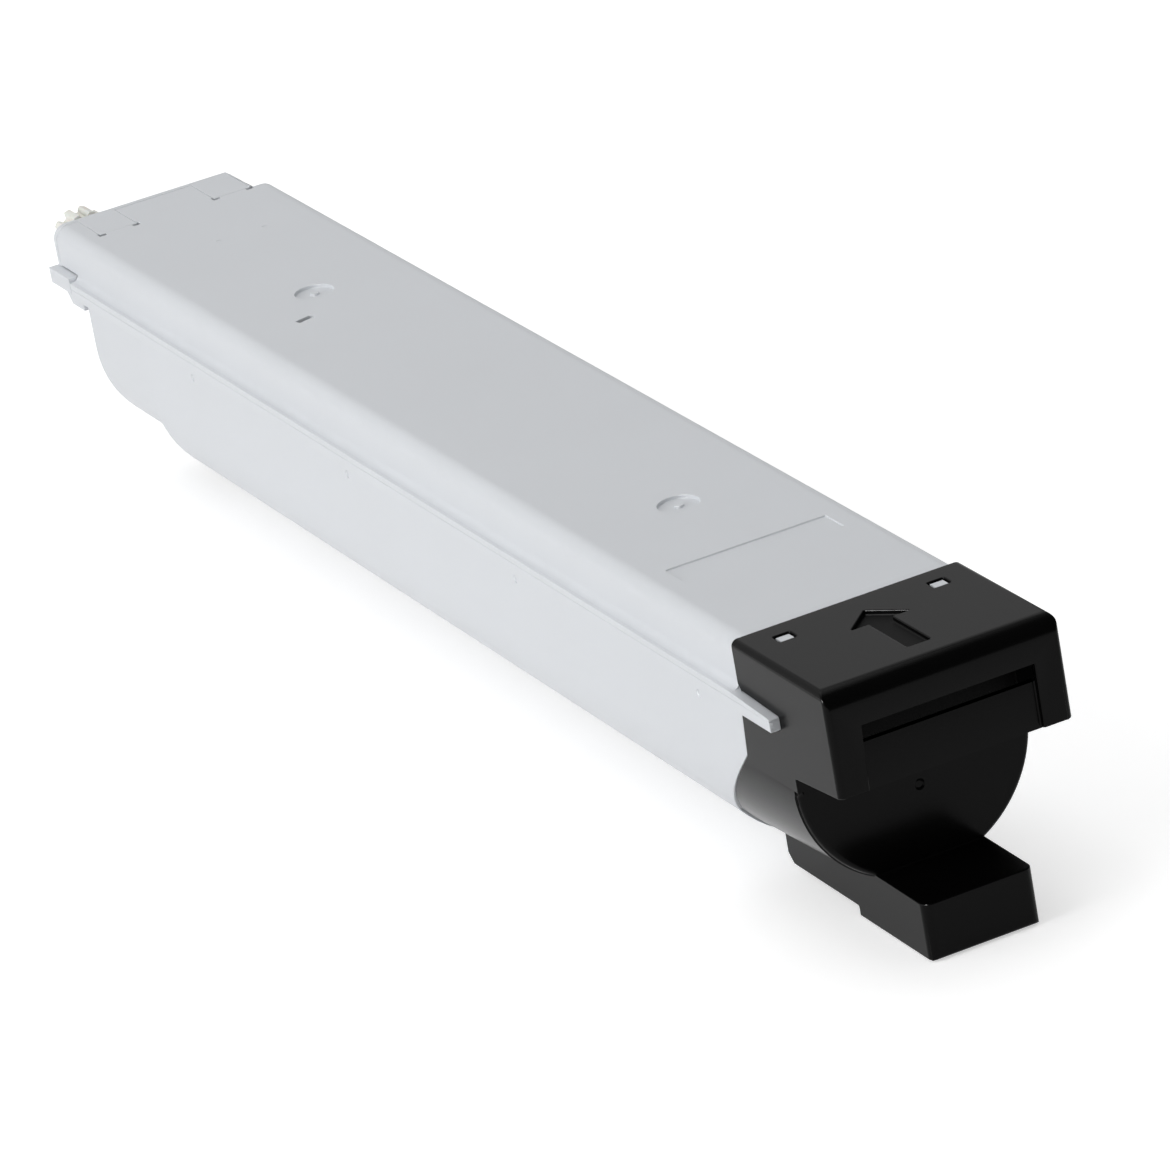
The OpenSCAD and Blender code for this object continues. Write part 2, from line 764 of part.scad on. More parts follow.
// Back plate in the tub's end, the block over it with the rail ends, the rear wall and the latch arms
module rear_cover() {
    side = cover_w / 2;
    fit = rear_r - wall - seat_gap;
    color(light_grey) placed() difference() {
        union() {
            along_y(tub_end - cap_plate_t, tub_end) tunnel(fit, rear_axis_drop, seam_drop - 4);
            difference() {
                block(-side, side, tub_end + seat_gap, body_end, rail_top_drop, block_drop);
                along_x(-side + wall, side - wall) block_space();
            }
            block(-fit, fit, tub_end - cap_plate_t, tub_end + wall, rail_top_drop - 1, block_drop);
            block(-side + 1, side - 1, tub_end + seat_gap, tub_end + wall, rail_top_drop, block_drop);
            along_y(cover_end + seat_gap, body_end) shouldered(side, cover_drop, shoulder_r, block_drop);
            both_sides() block(side - 1, rail_w / 2, flange_end + seat_gap, body_end + rail_end_out,
                rail_top_drop - rail_end_rise, rail_foot_drop - rail_end_rise);
            for (s = [-1, 1]) latch_arm(s * latch_x);
        }
        along_x(-cap_w, cap_w) polygon([
            [body_end - block_slope, at(block_drop)],
            [body_end + 1, at(block_drop - block_slope - 1)],
            [body_end + 1, at(block_drop + 5)],
            [body_end - block_slope, at(block_drop + 5)]
        ]);
        block(notch_x - 0.2, cover_w, cover_end, body_end + 1, -1, notch_drop - 0.2);
        rod(drive_x, drive_drop, drive_shaft_r + bush_t + 0.02, tub_end - chamber_l, body_end + 1);
        both_sides() rod(screw_x, screw_drop, screw_r + 0.3, tub_end - 5, tub_end + 1);
        both_sides() rod(screw_x, screw_drop, screw_head_r + 0.2, tub_end - 1.3, tub_end + 1);
    }
}

module latch_arm(x) {
    front = body_end - latch_l;
    block(x - latch_w / 2, x + latch_w / 2, front, body_end, cover_drop, cover_drop + latch_t);
}

// Push-in plug with a flange and a tapered body
module fill_plug() {
    color(white) placed() {
        rod(fill_x, fill_drop, fill_r + 2, neck_y - 1.8, neck_y);
        ring(fill_x, fill_drop, fill_r - 0.05, fill_r - 1.6, neck_y - eps, neck_inner_y + 3);
    }
}

module spur(x, drop, teeth, phase, from, to) {
    along_y(from, to) translate([x, at(drop)])
        polygon(gear_points(teeth, gear_module, addendum, dedendum, backlash, phase));
}

// Angle of the line from the agitator's axis to the drive axis, and the phases that put the gears in mesh
drive_line = atan2(agitator_drop - drive_drop, drive_x);
tooth_angle = 360 / agitator_teeth;
auger_shift = (-90 - drive_line) - tooth_angle * floor((-90 - drive_line) / tooth_angle);
pinion_phase = drive_line + 180 + 180 / pinion_teeth;
auger_phase = 90 + auger_shift * agitator_teeth / auger_teeth + 180 / auger_teeth;

module drive_gear() {
    from = body_end + seat_gap + 3;
    coupling_m = 2 * coupling_r / (coupling_teeth + 1.3);
    color(cream) placed() difference() {
        union() {
            along_y(from, from + coupling_l) translate([drive_x, at(drive_drop)])
                polygon(gear_points(coupling_teeth, coupling_m, coupling_m * 0.65, coupling_m * 0.6, -0.3,
                    90 + 180 / coupling_teeth));
            rod(drive_x, drive_drop, coupling_r - coupling_m * 2, body_end + seat_gap, from + eps);
        }
        along_y(body_end, from + coupling_l + 1) translate([drive_x, at(drive_drop)]) d_shape(0.05);
    }
}

// Shaft end with one flat, for the coupling gear's bore
module d_shape(gap) {
    r = drive_shaft_r + gap;
    difference() {
        circle(r);
        translate([-r, r - 1 + gap]) square([2 * r, r]);
    }
}

module drive_pinion() {
    shaft_end = body_end + seat_gap + 3 + coupling_l - 1;
    color(white) placed() difference() {
        union() {
            spur(drive_x, drive_drop, pinion_teeth, pinion_phase, gear_y, gear_y + gear_w);
            rod(drive_x, drive_drop, drive_shaft_r, gear_y + gear_w - eps, body_end + seat_gap);
            along_y(body_end + seat_gap - eps, shaft_end) translate([drive_x, at(drive_drop)]) d_shape(0);
        }
        rod(drive_x, drive_drop, 1.6, gear_y - 1, gear_y + gear_w - 1);
    }
}

module drive_bush() {
    color(white) placed() ring(drive_x, drive_drop, drive_shaft_r + bush_t, drive_shaft_r + run_gap,
        body_end - wall - 2, body_end);
}

module agitator_bush() {
    r = agitator_shaft_r + run_gap;
    color(white) placed() {
        ring(0, agitator_drop, agitator_shaft_r + bush_t - 0.02, r, inner_wall_y - 0.5, chamber_y);
        ring(0, agitator_drop, agitator_shaft_r + bush_t + bush_flange, r, inner_wall_y - bush_flange_t,
            inner_wall_y);
    }
}

module agitator_seal() {
    color(foam) placed() ring(0, agitator_drop, agitator_shaft_r + bush_t + 1, agitator_shaft_r + run_gap,
        inner_wall_y - bush_flange_t - 1.5, inner_wall_y - bush_flange_t);
}

module agitator_front_bush() {
    color(white) placed() ring(0, agitator_drop, agitator_shaft_r + 2.18, agitator_shaft_r + run_gap,
        neck_inner_y, neck_inner_y + front_boss_l);
}

module agitator_shaft() {
    first = agitator_front + 6;
    span = agitator_rear - agitator_front - 12;
    count = floor(span / arm_pitch);
    color(white) placed() {
        rod(0, agitator_drop, agitator_shaft_r, neck_inner_y + 0.4, gear_y + gear_w + 0.6);
        for (i = [0 : count])
            block(-bar_w / 2, bar_w / 2, first + i * span / count - arm_t / 2,
                first + i * span / count + arm_t / 2, agitator_drop, agitator_drop + agitator_bar_r);
        block(-bar_w / 2, bar_w / 2, first - arm_t / 2, first + span + arm_t / 2,
            agitator_drop + agitator_bar_r - bar_t, agitator_drop + agitator_bar_r);
    }
}

module agitator_film() {
    first = agitator_front + 6;
    last = agitator_rear - 6;
    color([0.85, 0.87, 0.88]) placed() block(bar_w / 2, bar_w / 2 + film_t, first, last,
        agitator_drop + agitator_bar_r - bar_t, agitator_drop + film_r);
}

module agitator_gear() {
    rim = agitator_teeth / 2 - dedendum - 2;
    hub = agitator_shaft_r + 3;
    color(white) placed() difference() {
        spur(0, agitator_drop, agitator_teeth, drive_line, gear_y, gear_y + gear_w);
        rod(0, agitator_drop, agitator_shaft_r + 0.05, gear_y - 1, gear_y + gear_w + 1);
        ring(0, agitator_drop, rim, hub, gear_y - 1, gear_y + 1.6);
        ring(0, agitator_drop, rim, hub, gear_y + gear_w - 1.6, gear_y + gear_w + 1);
        for (a = [0 : 60 : 300])
            rod((rim + hub) / 2 * cos(a), agitator_drop - (rim + hub) / 2 * sin(a), 3.5, gear_y, gear_y + gear_w);
    }
}

// Screw flight on a shaft, swept as one twisted outline
module auger() {
    length = auger_rear - auger_front;
    turns = length / auger_lead;
    color(white) placed() {
        translate([0, auger_front, at(auger_drop)]) rotate([-90, 0, 0])
            linear_extrude(height = length, twist = 360 * turns, slices = round(turns * 10), $fn = 12)
                auger_outline();
        rod(0, auger_drop, auger_shaft_r, neck_inner_y + 0.4, auger_front + 1.3);
        rod(0, auger_drop, auger_shaft_r, auger_rear - 1.3, gear_y + gear_w + 0.6);
    }
}

module auger_outline() {
    circle(auger_shaft_r - 0.1, $fn = 8);
    translate([0, -0.6]) square([auger_r, 1.2]);
}

module auger_gear() {
    color(white) placed() difference() {
        spur(0, auger_drop, auger_teeth, auger_phase, gear_y, gear_y + gear_w);
        rod(0, auger_drop, auger_shaft_r + 0.05, gear_y - 1, gear_y + gear_w + 1);
    }
}

module auger_bush() {
    r = auger_shaft_r + run_gap;
    color(white) placed() {
        ring(0, auger_drop, auger_shaft_r + bush_t - 0.02, r, inner_wall_y - 0.5, chamber_y);
        ring(0, auger_drop, auger_shaft_r + bush_t + bush_flange, r, inner_wall_y - bush_flange_t,
            inner_wall_y);
    }
}

module auger_seal() {
    color(foam) placed() ring(0, auger_drop, auger_shaft_r + bush_t + 1, auger_shaft_r + run_gap,
        inner_wall_y - bush_flange_t - 1.5, inner_wall_y - bush_flange_t);
}

module auger_front_bush() {
    color(white) placed() ring(0, auger_drop, auger_shaft_r + 2.18, auger_shaft_r + run_gap,
        neck_inner_y, neck_inner_y + front_boss_l);
}

// Foam frame round the outlet, in its shallow recess
module outlet_seal() {
    outer = outlet_side / 2 + seal_w;
    inner = outlet_side / 2 + 0.2;
    color(foam) placed() difference() {
        block(-outer, outer, outlet_y - outer, outlet_y + outer, pad_drop - seal_t + 0.2, pad_drop + 0.2);
        block(-inner, inner, outlet_y - inner, outlet_y + inner, 0, tongue_drop);
    }
}

// Sliding plate with two catch notches and a grip rib
module shutter() {
    half = shutter_w / 2;
    foot = shutter_drop + shutter_t;
    color(gloss_black) placed() difference() {
        block(-half, half, shutter_y, shutter_y + shutter_l, shutter_drop, foot);
        for (side = [-1, 1])
            block(side * 5 - 2, side * 5 + 2, shutter_y + shutter_l - 6, shutter_y + shutter_l - 3,
                shutter_drop + 0.6, foot + 1);
    }
}

module memory_chip() {
    mid = (notch_x + cover_w / 2) / 2;
    color([0.1, 0.35, 0.2]) placed() block(mid - chip_w / 2, mid + chip_w / 2, cover_end - 3 - chip_l,
        cover_end - 3, notch_drop - chip_t, notch_drop);
}

module chip_contacts() {
    mid = (notch_x + cover_w / 2) / 2;
    pitch = chip_l / pad_rows;
    color([0.85, 0.68, 0.3]) placed() for (i = [0 : pad_rows - 1])
        block(mid - chip_w / 2 + 0.8, mid + chip_w / 2 - 0.8, cover_end - 3 - chip_l + i * pitch + 0.7,
            cover_end - 3 - chip_l + (i + 1) * pitch - 0.7, notch_drop - chip_t - 0.1, notch_drop - chip_t);
}

module cover_screws() {
    color(steel) placed() both_sides() difference() {
        union() {
            rod(screw_x, screw_drop, screw_head_r, tub_end - 1.3, tub_end + 0.5);
            rod(screw_x, screw_drop, screw_r - 0.02, chamber_y + 4, tub_end - 1.3 + eps);
        }
        for (a = [0, 90])
            translate([screw_x, tub_end + 0.5, at(screw_drop)]) rotate([0, a, 0])
                cube([3.2, 1.8, 0.6], center = true);
    }
}

// Felt strip under the vent slot
module vent_filter() {
    color(foam) placed() block(slot_hole_x - 6.3, slot_hole_x + 6.3, slot_hole_y - 3.3, slot_hole_y + 3.3,
        cover_drop + wall, cover_drop + wall + 1.2);
}

top_cover();
tub();
front_cap();
rear_cover();
fill_plug();
drive_gear();
drive_pinion();
drive_bush();
agitator_shaft();
agitator_film();
agitator_gear();
agitator_bush();
agitator_seal();
agitator_front_bush();
auger();
auger_gear();
auger_bush();
auger_seal();
auger_front_bush();
outlet_seal();
shutter();
memory_chip();
chip_contacts();
cover_screws();
vent_filter();
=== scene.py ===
"""Toner cartridge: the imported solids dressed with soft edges, finishes and studio light."""
import json
import math

import bmesh
import bpy
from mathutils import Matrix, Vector


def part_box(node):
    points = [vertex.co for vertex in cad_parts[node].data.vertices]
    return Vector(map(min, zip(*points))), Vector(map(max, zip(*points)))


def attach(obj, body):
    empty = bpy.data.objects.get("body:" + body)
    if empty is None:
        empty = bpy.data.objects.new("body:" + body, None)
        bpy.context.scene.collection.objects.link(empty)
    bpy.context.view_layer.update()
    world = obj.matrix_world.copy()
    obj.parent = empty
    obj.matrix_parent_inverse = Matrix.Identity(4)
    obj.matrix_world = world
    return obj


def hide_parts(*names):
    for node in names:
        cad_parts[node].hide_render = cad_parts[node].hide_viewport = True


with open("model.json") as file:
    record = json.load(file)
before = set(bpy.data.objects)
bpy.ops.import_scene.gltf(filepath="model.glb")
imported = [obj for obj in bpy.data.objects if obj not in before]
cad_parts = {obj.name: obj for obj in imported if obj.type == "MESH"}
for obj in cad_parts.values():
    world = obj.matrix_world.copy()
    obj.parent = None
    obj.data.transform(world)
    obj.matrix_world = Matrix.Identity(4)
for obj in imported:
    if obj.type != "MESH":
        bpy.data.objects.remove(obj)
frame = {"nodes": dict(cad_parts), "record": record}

MM = 0.001
nodes = frame["nodes"]
scene = bpy.context.scene
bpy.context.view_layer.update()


def rgb(r, g, b):
    """Colour on the 0-255 screen scale, as the linear values that a socket takes."""
    def linear(v):
        v /= 255
        return v / 12.92 if v <= 0.04045 else ((v + 0.055) / 1.055) ** 2.4
    return (linear(r), linear(g), linear(b), 1)


# Shader groups

def new_group(name, inputs, outputs):
    """Shader group with float inputs {name: default} and outputs {name: socket type}."""
    group = bpy.data.node_groups.new(name, "ShaderNodeTree")
    for label, value in inputs.items():
        socket = group.interface.new_socket(label, in_out="INPUT", socket_type="NodeSocketFloat")
        socket.default_value = value
    for label, kind in outputs.items():
        group.interface.new_socket(label, in_out="OUTPUT", socket_type=kind)
    return group, group.nodes.new("NodeGroupInput"), group.nodes.new("NodeGroupOutput")


def add(tree, kind, **values):
    """New shader node; values with the names of inputs set those, others set its properties."""
    node = tree.nodes.new(kind)
    for key, value in values.items():
        label = key.replace("_", " ").title()
        if label in node.inputs:
            node.inputs[label].default_value = value
        else:
            setattr(node, key, value)
    return node


def make_mould_texture():
    """Fine spark-eroded texture of a moulding: a height for the bump and a mask for roughness."""
    group, ins, outs = new_group(
        "mould texture",
        {"Grain per mm": 3.0, "Flow per mm": 0.02},
        {"Height": "NodeSocketFloat", "Patches": "NodeSocketFloat"},
    )
    place = add(group, "ShaderNodeTexCoord")
    link = group.links.new
    for rate, result, detail, roughness in (("Grain per mm", "Height", 3.0, 0.6),
                                            ("Flow per mm", "Patches", 2.0, 0.5)):
        noise = add(group, "ShaderNodeTexNoise", detail=detail, roughness=roughness)
        per_metre = add(group, "ShaderNodeMath", operation="MULTIPLY")
        per_metre.inputs[1].default_value = 1 / MM
        link(ins.outputs[rate], per_metre.inputs[0])
        link(place.outputs["Object"], noise.inputs["Vector"])
        link(per_metre.outputs[0], noise.inputs["Scale"])
        link(noise.outputs["Fac"], outs.inputs[result])
    return group


MOULD_TEXTURE = make_mould_texture()

TONE_SHIFT = 0.03


def plastic(name, colour, rough, grain=3.0, bump=0.02, spread=0.06, level=0.5, subsurface=0.0):
    """Moulded plastic: flat colour with slight patches, fine grain, roughness that varies a little.
    grain is per mm and bump is in mm."""
    mat = bpy.data.materials.new(name)
    mat.use_nodes = True
    tree = mat.node_tree
    shader = tree.nodes["Principled BSDF"]
    shader.inputs["Specular IOR Level"].default_value = level
    shader.inputs["Subsurface Weight"].default_value = subsurface
    texture = add(tree, "ShaderNodeGroup")
    texture.node_tree = MOULD_TEXTURE
    texture.inputs["Grain per mm"].default_value = grain
    link = tree.links.new
    tone = add(tree, "ShaderNodeMix", data_type="RGBA")
    for socket in tone.inputs:
        if socket.type == "RGBA":
            factor = 1 - TONE_SHIFT if socket.name == "A" else 1 + TONE_SHIFT
            socket.default_value = [min(1, c * factor) for c in colour[:3]] + [1]
    link(texture.outputs["Patches"], tone.inputs["Factor"])
    link([o for o in tone.outputs if o.type == "RGBA"][0], shader.inputs["Base Color"])
    rough_map = add(tree, "ShaderNodeMapRange")
    rough_map.inputs["To Min"].default_value = rough - spread
    rough_map.inputs["To Max"].default_value = rough + spread
    link(texture.outputs["Patches"], rough_map.inputs["Value"])
    link(rough_map.outputs["Result"], shader.inputs["Roughness"])
    ripple = add(tree, "ShaderNodeBump")
    ripple.inputs["Strength"].default_value = 1.0
    ripple.inputs["Distance"].default_value = bump * MM
    link(texture.outputs["Height"], ripple.inputs["Height"])
    link(ripple.outputs["Normal"], shader.inputs["Normal"])
    return mat


def inside_box(low, high):
    """Group whose Inside output is 1 between two corners in object space, in metres."""
    group, ins, outs = new_group("inside box", {}, {"Inside": "NodeSocketFloat"})
    place = add(group, "ShaderNodeTexCoord")
    split = add(group, "ShaderNodeSeparateXYZ")
    group.links.new(place.outputs["Object"], split.inputs[0])
    result = None
    for axis in range(3):
        for limit, operation in ((low[axis], "GREATER_THAN"), (high[axis], "LESS_THAN")):
            side = add(group, "ShaderNodeMath", operation=operation)
            side.inputs[1].default_value = limit
            group.links.new(split.outputs[axis], side.inputs[0])
            if result is None:
                result = side.outputs[0]
                continue
            both = add(group, "ShaderNodeMath", operation="MULTIPLY")
            group.links.new(result, both.inputs[0])
            group.links.new(side.outputs[0], both.inputs[1])
            result = both.outputs[0]
    group.links.new(result, outs.inputs["Inside"])
    return group


def matte_inside(mat, rough, boxes):
    """Adds an unpolished finish to a material's roughness inside boxes of (low, high) corners."""
    tree = mat.node_tree
    shader = tree.nodes["Principled BSDF"]
    for low, high in boxes:
        polished = shader.inputs["Roughness"].links[0].from_socket
        mask = add(tree, "ShaderNodeGroup")
        mask.node_tree = inside_box(low, high)
        mix = add(tree, "ShaderNodeMix", data_type="FLOAT")
        mix.inputs["B"].default_value = rough
        tree.links.new(mask.outputs["Inside"], mix.inputs["Factor"])
        tree.links.new(polished, mix.inputs["A"])
        tree.links.new(mix.outputs["Result"], shader.inputs["Roughness"])


GREY = plastic("light grey moulded plastic", rgb(204, 207, 211), 0.42)
BLACK = plastic("gloss black moulded plastic", rgb(5, 5, 5), 0.22, grain=0.5, bump=0.002, spread=0.03,
                level=0.08)
# Painted shade: near-black with no reflection, standing in for the shade deep inside the slot.
SLOT_PAINTED_SHADE = plastic("black with painted shade inside the slot", rgb(2, 2, 2), 0.7, grain=0.5, bump=0.002, level=0.0)
CREAM = plastic("cream acetal", rgb(222, 221, 214), 0.4, subsurface=0.1)
WHITE = plastic("white acetal", rgb(228, 228, 222), 0.38, subsurface=0.1)
FILM = plastic("milky film", rgb(206, 210, 210), 0.2, bump=0.004)
FOAM = plastic("dark foam", rgb(58, 58, 60), 0.9, grain=2.0, bump=0.15)
BOARD = plastic("green board", rgb(30, 92, 58), 0.3)

cap_low, cap_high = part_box("front_cap")


def cap_box(half_width, front, back, bottom, top):
    """Corners of a box about the middle of the cap, in mm: its half width, its distances behind the
    cap's front and its distances below the cap's top."""
    return ((-half_width * MM, cap_low[1] + front * MM, cap_high[2] - bottom * MM),
            (half_width * MM, cap_low[1] + back * MM, cap_high[2] - top * MM))


HOOD_WALL = 2.2
ARROW_BOX = cap_box(12, 12, 48, 3, 1.2)
HOOD_BOX = cap_box(cap_high[0] / MM - HOOD_WALL, 4.2, 28.3, 32, HOOD_WALL)
SLOT_BOX = cap_box(28.5, 0.4, 9, 18.3, 11.6)
PANEL_BOX = cap_box(30, -1, 9, 34, 10.5)
UNPOLISHED = 0.65
matte_inside(BLACK, UNPOLISHED, [ARROW_BOX, HOOD_BOX])

MATERIALS = {
    "top_cover": GREY, "tub": GREY, "rear_cover": GREY, "front_cap": BLACK, "shutter": BLACK,
    "drive_gear": CREAM, "drive_pinion": WHITE, "drive_bush": WHITE, "fill_plug": WHITE,
    "agitator_shaft": WHITE, "agitator_film": FILM, "agitator_gear": WHITE, "agitator_bush": WHITE,
    "agitator_seal": FOAM, "agitator_front_bush": WHITE, "auger": WHITE, "auger_gear": WHITE,
    "auger_bush": WHITE, "auger_seal": FOAM, "auger_front_bush": WHITE, "outlet_seal": FOAM,
    "memory_chip": BOARD, "vent_filter": FOAM,
}


def metal(name, colour, rough):
    """Plated metal with a fine grain."""
    mat = plastic(name, colour, rough, grain=4.0, bump=0.006)
    mat.node_tree.nodes["Principled BSDF"].inputs["Metallic"].default_value = 1.0
    return mat


MATERIALS["chip_contacts"] = metal("gold plate", rgb(214, 176, 98), 0.25)
MATERIALS["cover_screws"] = metal("zinc plate", rgb(176, 176, 180), 0.35)

for name, mat in MATERIALS.items():
    mesh = nodes[name].data
    mesh.materials.clear()
    mesh.materials.append(mat)

BODY_OF = {node: body for body, group in frame["record"]["behaviour"]["bodies"].items() for node in group}


# Soft edges on the mouldings

SLIVER_WIDTH = 0.12 * MM
MERGE_GAP = 0.002 * MM
FLAT_ANGLE = math.radians(0.05)
SHARP_ANGLE = math.radians(32)


def is_sliver(face):
    """True for a face too narrow to carry a rounded edge."""
    return face.calc_area() < SLIVER_WIDTH * max(edge.calc_length() for edge in face.edges)


def within(point, box):
    """True for a point between the two corners of a box."""
    return all(box[0][i] < point[i] < box[1][i] for i in range(3))


def lies_across(edge, box):
    """True for an edge inside the box that runs along x."""
    run = edge.verts[1].co - edge.verts[0].co
    return within((edge.verts[0].co + edge.verts[1].co) / 2, box) and abs(run.x) > 0.9 * run.length


def soften(node, width, segments=2, crisp=None):
    """Copy of a CAD node with its sharp edges rounded by width in mm; it stands for the node.
    Edges that lie across the box crisp stay sharp."""
    mesh = nodes[node].data.copy()
    mesh.name = node + "_moulding"
    form = bmesh.new()
    form.from_mesh(mesh)
    bmesh.ops.remove_doubles(form, verts=form.verts, dist=MERGE_GAP)
    bmesh.ops.dissolve_limit(form, angle_limit=FLAT_ANGLE, verts=form.verts, edges=form.edges)
    weight = form.edges.layers.float.new("bevel_weight_edge")
    for edge in form.edges:
        if len(edge.link_faces) != 2 or any(is_sliver(face) for face in edge.link_faces):
            continue
        is_sharp = edge.calc_face_angle(0) > SHARP_ANGLE
        if is_sharp and not (crisp and lies_across(edge, crisp)):
            edge[weight] = 1.0
    form.to_mesh(mesh)
    form.free()
    ob = bpy.data.objects.new(node + "_moulding", mesh)
    scene.collection.objects.link(ob)
    bevel = ob.modifiers.new("soft edges", "BEVEL")
    bevel.width = width * MM
    bevel.segments = segments
    bevel.limit_method = "WEIGHT"
    bevel.use_clamp_overlap = False
    bevel.miter_outer = "MITER_ARC"
    for face in mesh.polygons:
        face.use_smooth = True
    even = ob.modifiers.new("even shading", "WEIGHTED_NORMAL")
    even.keep_sharp = True
    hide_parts(node)
    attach(ob, BODY_OF[node])
    return ob


cap = soften("front_cap", 0.45, 3, crisp=PANEL_BOX)
# The faces inside the slot take the painted shade.
cap.data.materials.append(SLOT_PAINTED_SHADE)
for part in cap.data.polygons:
    if within(part.center, SLOT_BOX):
        part.material_index = len(cap.data.materials) - 1
soften("top_cover", 0.2)
soften("tub", 0.25)
soften("rear_cover", 0.25)
soften("drive_gear", 0.2)
soften("shutter", 0.2)


# Repeated details and the auger, by Geometry Nodes

def geometry_tree(name, inputs):
    """Geometry tree with inputs {name: socket type}, and its input and output nodes."""
    tree = bpy.data.node_groups.new(name, "GeometryNodeTree")
    tree.interface.new_socket("Geometry", in_out="INPUT", socket_type="NodeSocketGeometry")
    for label, kind in inputs.items():
        tree.interface.new_socket(label, in_out="INPUT", socket_type=kind)
    tree.interface.new_socket("Geometry", in_out="OUTPUT", socket_type="NodeSocketGeometry")
    return tree, tree.nodes.new("NodeGroupInput"), tree.nodes.new("NodeGroupOutput")


def finish_tree(tree, made, ins, outs):
    """Ends a tree in Realize Instances and Set Material."""
    real = add(tree, "GeometryNodeRealizeInstances")
    dress = add(tree, "GeometryNodeSetMaterial")
    tree.links.new(made, real.inputs["Geometry"])
    tree.links.new(real.outputs["Geometry"], dress.inputs["Geometry"])
    tree.links.new(ins.outputs["Finish"], dress.inputs["Material"])
    tree.links.new(dress.outputs["Geometry"], outs.inputs["Geometry"])


def make_row_tree():
    """Copies of the object's own mesh in a straight row."""
    kinds = {"Count": "NodeSocketInt", "Start": "NodeSocketVector", "Step": "NodeSocketVector",
             "Finish": "NodeSocketMaterial"}
    tree, ins, outs = geometry_tree("straight row", kinds)
    line = add(tree, "GeometryNodeMeshLine")
    place = add(tree, "GeometryNodeInstanceOnPoints")
    tree.links.new(ins.outputs["Count"], line.inputs["Count"])
    tree.links.new(ins.outputs["Start"], line.inputs["Start Location"])
    tree.links.new(ins.outputs["Step"], line.inputs["Offset"])
    tree.links.new(line.outputs["Mesh"], place.inputs["Points"])
    tree.links.new(ins.outputs["Geometry"], place.inputs["Instance"])
    finish_tree(tree, place.outputs["Instances"], ins, outs)
    return tree


AUGER_LEAD = 24 * MM
FLIGHT_FRONT_GAP = 62.7 * MM
FLIGHT_REAR_GAP = 13.2 * MM
FLIGHT_INSET = 0.05 * MM
FLIGHT_ROOT = 0.4 * MM
FLIGHT_THICKNESS = 1.2 * MM
SHAFT_RADIUS = 2.5 * MM
POINTS_PER_TURN = 40
SHAFT_SIDES = 48


def make_auger_tree():
    """Screw flight swept along a spiral round a shaft, along +Y."""
    sizes = ("Lead", "Flight length", "Flight radius", "Flight thickness", "Shaft radius", "Shaft length")
    kinds = {label: "NodeSocketFloat" for label in sizes}
    kinds.update({"Flight start": "NodeSocketVector", "Shaft middle": "NodeSocketVector",
                  "Finish": "NodeSocketMaterial"})
    tree, ins, outs = geometry_tree("auger", kinds)
    link = tree.links.new

    def calc(operation, one, other):
        node = add(tree, "ShaderNodeMath", operation=operation)
        for value, socket in ((one, node.inputs[0]), (other, node.inputs[1])):
            if isinstance(value, float):
                socket.default_value = value
            else:
                link(value, socket)
        return node.outputs[0]

    turns = calc("DIVIDE", ins.outputs["Flight length"], ins.outputs["Lead"])
    reach = calc("SUBTRACT", ins.outputs["Flight radius"], ins.outputs["Shaft radius"])
    width = calc("ADD", reach, FLIGHT_ROOT)
    middle = calc("SUBTRACT", ins.outputs["Flight radius"], calc("MULTIPLY", width, 0.5))
    spiral = add(tree, "GeometryNodeCurveSpiral")
    spiral.inputs["Resolution"].default_value = POINTS_PER_TURN
    link(turns, spiral.inputs["Rotations"])
    link(middle, spiral.inputs["Start Radius"])
    link(middle, spiral.inputs["End Radius"])
    link(ins.outputs["Flight length"], spiral.inputs["Height"])
    upright = add(tree, "GeometryNodeSetCurveNormal", mode="Z_UP")
    link(spiral.outputs["Curve"], upright.inputs["Curve"])
    section = add(tree, "GeometryNodeCurvePrimitiveQuadrilateral")
    link(width, section.inputs["Width"])
    link(ins.outputs["Flight thickness"], section.inputs["Height"])
    sweep = add(tree, "GeometryNodeCurveToMesh")
    sweep.inputs["Fill Caps"].default_value = True
    link(upright.outputs["Curve"], sweep.inputs["Curve"])
    link(section.outputs["Curve"], sweep.inputs["Profile Curve"])
    shaft = add(tree, "GeometryNodeMeshCylinder")
    shaft.inputs["Vertices"].default_value = SHAFT_SIDES
    link(ins.outputs["Shaft radius"], shaft.inputs["Radius"])
    link(ins.outputs["Shaft length"], shaft.inputs["Depth"])
    both = add(tree, "GeometryNodeJoinGeometry")
    for mesh, place in ((sweep.outputs["Mesh"], "Flight start"), (shaft.outputs["Mesh"], "Shaft middle")):
        lay = add(tree, "GeometryNodeTransform")
        lay.inputs["Rotation"].default_value = (math.radians(-90), 0, 0)
        link(mesh, lay.inputs["Geometry"])
        link(ins.outputs[place], lay.inputs["Translation"])
        link(lay.outputs["Geometry"], both.inputs["Geometry"])
    finish_tree(tree, both.outputs["Geometry"], ins, outs)
    return tree


CREASE_ANGLE = math.radians(35)


def bake(name, node, mesh, tree, values):
    """Object with the tree's result as its plain mesh; it stands for the CAD node."""
    ob = bpy.data.objects.new(name, mesh)
    scene.collection.objects.link(ob)
    modifier = ob.modifiers.new("made by rule", "NODES")
    modifier.node_group = tree
    for item in tree.interface.items_tree:
        if item.item_type == "SOCKET" and item.in_out == "INPUT" and item.name in values:
            modifier[item.identifier] = values[item.name]
    made = bpy.data.meshes.new_from_object(ob.evaluated_get(bpy.context.evaluated_depsgraph_get()))
    ob.modifiers.remove(modifier)
    ob.data = made
    made.name = name
    for face in made.polygons:
        face.use_smooth = True
    made.set_sharp_from_angle(angle=CREASE_ANGLE)
    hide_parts(node)
    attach(ob, BODY_OF[node])
    return ob


